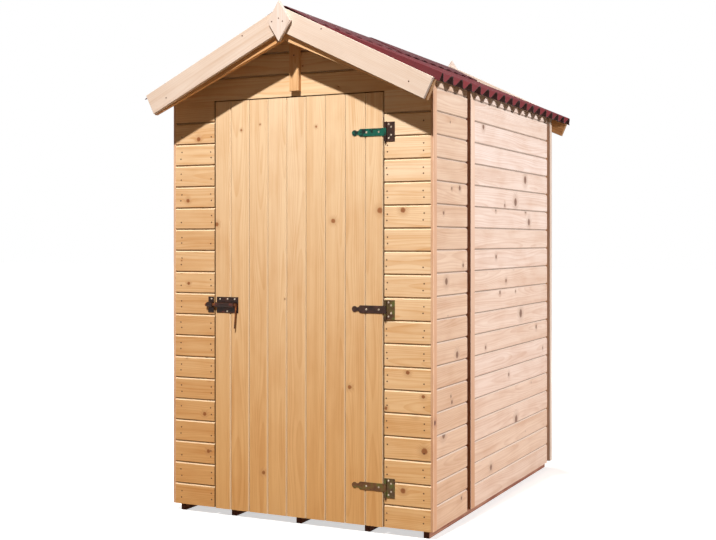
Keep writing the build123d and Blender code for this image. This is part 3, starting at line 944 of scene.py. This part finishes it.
give(black_enamel, "bolt_keeper", "bolt_barrel")
give(rod_bronze, "bolt_rod")
give(dark_enamel, "hinge_plate_3", "hinge_strap_2")
give(teal_enamel, "hinge_strap_3")
give(olive_enamel, "hinge_plate_1", "hinge_plate_2")
give(rusty_enamel, "hinge_strap_1")


# ---- Nails and screws ---------------------------------------------------------------------------

class Heads:
    """Heads of nails or screws that end up in one mesh."""

    def __init__(self, rings):
        self.rings = rings
        self.points = []
        self.faces = []

    def add(self, node, start, towards):
        """A head where a straight line meets a CAD node."""
        mesh = frame["nodes"][node].data
        points = [vertex.co for vertex in mesh.vertices]
        tree = BVHTree.FromPolygons(points, [polygon.vertices for polygon in mesh.polygons])
        place, normal = tree.ray_cast(Vector(start), towards)[:2]
        if place is None:
            return
        turn = UP.rotation_difference(normal)
        first = len(self.points)
        for height, *radii in self.rings:
            for number in range(head_sides):
                angle = 2 * math.pi * (number - 0.5) / head_sides
                reach = radii[number % len(radii)]
                point = Vector((math.cos(angle) * reach, math.sin(angle) * reach, height))
                self.points.append((turn @ point + place)[:])
        self.points.append((turn @ Vector((0, 0, self.rings[-1][0])) + place)[:])
        top = len(self.points) - 1
        for number in range(head_sides):
            following = (number + 1) % head_sides
            for level in range(len(self.rings) - 1):
                low = first + level * head_sides
                high = low + head_sides
                self.faces.append([low + number, low + following, high + following, high + number])
            self.faces.append([top - head_sides + number, top - head_sides + following, top])
        self.faces.append([first + number for number in reversed(range(head_sides))])

    def piece(self, name, material, body, slot, smooth=False):
        mesh = bpy.data.meshes.new(name)
        mesh.from_pydata(self.points, [], self.faces)
        mesh.polygons.foreach_set("use_smooth", [smooth] * len(mesh.polygons))
        mesh.materials.append(material)
        placed(name, mesh, body, slot)


def wall_nails():
    """Pairs of nails in the boards beside the door, and those of the barge boards and finials."""
    heads = Heads(nail_head)
    foot = first_joint - board_pitch / 2
    for column in strip_nail_columns:
        node = "left_front_strip" if column < 0 else "right_front_strip"
        for number in range(strip_nail_rows):
            for side in (-1, 1):
                if random.random() < nail_share:
                    z = foot + number * board_pitch + side * random.uniform(*nail_lift)
                    x = column + random.uniform(-nail_scatter, nail_scatter)
                    heads.add(node, (x, in_front, z), BACK)
    for gable, start, towards in (("front", in_front, BACK), ("rear", behind, -BACK)):
        for x, z in barge_nails:
            node = f"{'left' if x < 0 else 'right'}_{gable}_barge_board"
            heads.add(node, (x, start, z), towards)
        for x, z in finial_nails:
            heads.add(f"{gable}_finial", (x, start, z), towards)
    x, z = gable_post_nail
    heads.add("gable_post", (x, in_front, z), BACK)
    heads.piece("wall_nails", nail_steel, "shed", "dark_bronze")


def roof_nails():
    """Capped nails in every second wave of the roof sheets."""
    heads = Heads(roof_nail_head)
    for side, sign in (("left", -1), ("right", 1)):
        for row in roof_nail_rows:
            for number in roof_nail_waves:
                y = wave_start[side] + number * wave_pitch
                heads.add(f"{side}_roof_sheet", (sign * row, y, overhead), -UP)
    heads.piece("roof_nails", sheet_face, "shed", "red_sheet", smooth=True)


def screws():
    """Slotted screws of the hinges, the bolt and its keeper."""
    door_screws = Heads(screw_head)
    wall_screws = Heads(screw_head)
    for number in hinges:
        low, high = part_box(f"hinge_strap_{number}")
        middle = (low.z + high.z) / 2
        for x in strap_screws:
            door_screws.add(f"hinge_strap_{number}", (x, in_front, middle), BACK)
        for x, lift in plate_screws:
            wall_screws.add(f"hinge_plate_{number}", (x, in_front, middle + lift), BACK)
    for x, z in bolt_screws:
        door_screws.add("bolt_barrel", (x, in_front, z), BACK)
    x, z = keeper_screw
    wall_screws.add("bolt_keeper", (x, in_front, z), BACK)
    door_screws.piece("door_screws", screw_steel, "door", "dark_bronze")
    wall_screws.piece("wall_screws", screw_steel, "shed", "dark_bronze")


wall_nails()
roof_nails()
screws()


# ---- Floor, lights and camera -------------------------------------------------------------------

def studio_floor():
    """A floor that looks white, with a faint shadow, and reflects a little warm light."""
    reach = 40.0
    top = -0.0005
    around = ((-1, -1), (1, -1), (1, 1), (-1, 1))
    corners = [(x * reach, y * reach, top) for x, y in around]
    mesh = bpy.data.meshes.new("studio_floor")
    mesh.from_pydata(corners, [], [[0, 1, 2, 3]])
    made = Material("studio_floor")
    ray = made.node("ShaderNodeLightPath").outputs
    seen = made.math("MAXIMUM", ray["Is Camera Ray"], ray["Is Glossy Ray"])
    seen = made.math("MAXIMUM", seen, ray["Is Transmission Ray"])
    place = made.node("ShaderNodeTexCoord").outputs["Object"]
    glow = made.smooth(made.vector("LENGTH", place), 1.0, 5.0, 0.62, 1.0)
    shade = made.mix(seen, (0.20, 0.13, 0.07, 1), (0.7, 0.7, 0.7, 1))
    made.set(Base_Color=shade, Roughness=0.9, Specular_IOR_Level=0.1)
    made.set(Emission_Color=(1, 1, 1, 1), Emission_Strength=made.times(seen, glow))
    mesh.materials.append(made.material)
    floor = bpy.data.objects.new("studio_floor", mesh)
    bpy.context.scene.collection.objects.link(floor)


def world_light(light):
    """A white backdrop for what is seen, and an even, weaker light on the object."""
    world = bpy.data.worlds.new("studio")
    bpy.context.scene.world = world
    world.use_nodes = True
    nodes, links = world.node_tree.nodes, world.node_tree.links
    ray = nodes.new("ShaderNodeLightPath").outputs
    seen = ray["Is Camera Ray"]
    for other in ("Is Glossy Ray", "Is Transmission Ray"):
        either = nodes.new("ShaderNodeMath")
        either.operation = "MAXIMUM"
        links.new(seen, either.inputs[0])
        links.new(ray[other], either.inputs[1])
        seen = either.outputs[0]
    shade = nodes.new("ShaderNodeMix")
    shade.data_type = "RGBA"
    links.new(seen, shade.inputs[0])
    shade.inputs[6].default_value = light
    shade.inputs[7].default_value = (1, 1, 1, 1)
    links.new(shade.outputs[2], nodes["Background"].inputs["Color"])


def lamp(name, direction, distance, target, size, power, tint):
    """A square studio light that faces a target from a direction."""
    light = bpy.data.lights.new(name, "AREA")
    light.size = size
    light.energy = power
    light.color = tint
    made = bpy.data.objects.new(name, light)
    direction = Vector(direction).normalized()
    made.location = Vector(target) + direction * distance
    made.rotation_euler = direction.to_track_quat("Z", "Y").to_euler()
    bpy.context.scene.collection.objects.link(made)


def lights():
    lamp(
        "key", direction=(0.05, -0.65, 0.68), distance=6.0, target=(0, -0.8, 1.7),
        size=0.2, power=555, tint=(1.0, 0.955, 0.90),
    )
    lamp(
        "side", direction=(0.996, -0.02, 0.09), distance=8.0, target=(0.6, 0, 1.75),
        size=0.5, power=610, tint=(1.0, 0.98, 0.98),
    )
    lamp(
        "rear", direction=(-0.62, 0.70, 0.35), distance=7.0, target=(0, 0.2, 1.0),
        size=2.5, power=400, tint=(1.0, 0.98, 0.95),
    )
    world_light((0.07, 0.042, 0.02, 1))


def camera():
    made = bpy.data.objects.new("camera", bpy.data.cameras.new("camera"))
    made.location = (2.238, -4.936, 1.151)
    made.rotation_euler = (math.radians(90), 0, math.radians(25.456))
    made.data.sensor_width = 36.0
    made.data.lens = 58.03
    made.data.shift_y = -0.0409
    bpy.context.scene.collection.objects.link(made)
    bpy.context.scene.camera = made


studio_floor()
lights()
camera()
bpy.context.scene.view_settings.view_transform = "Standard"
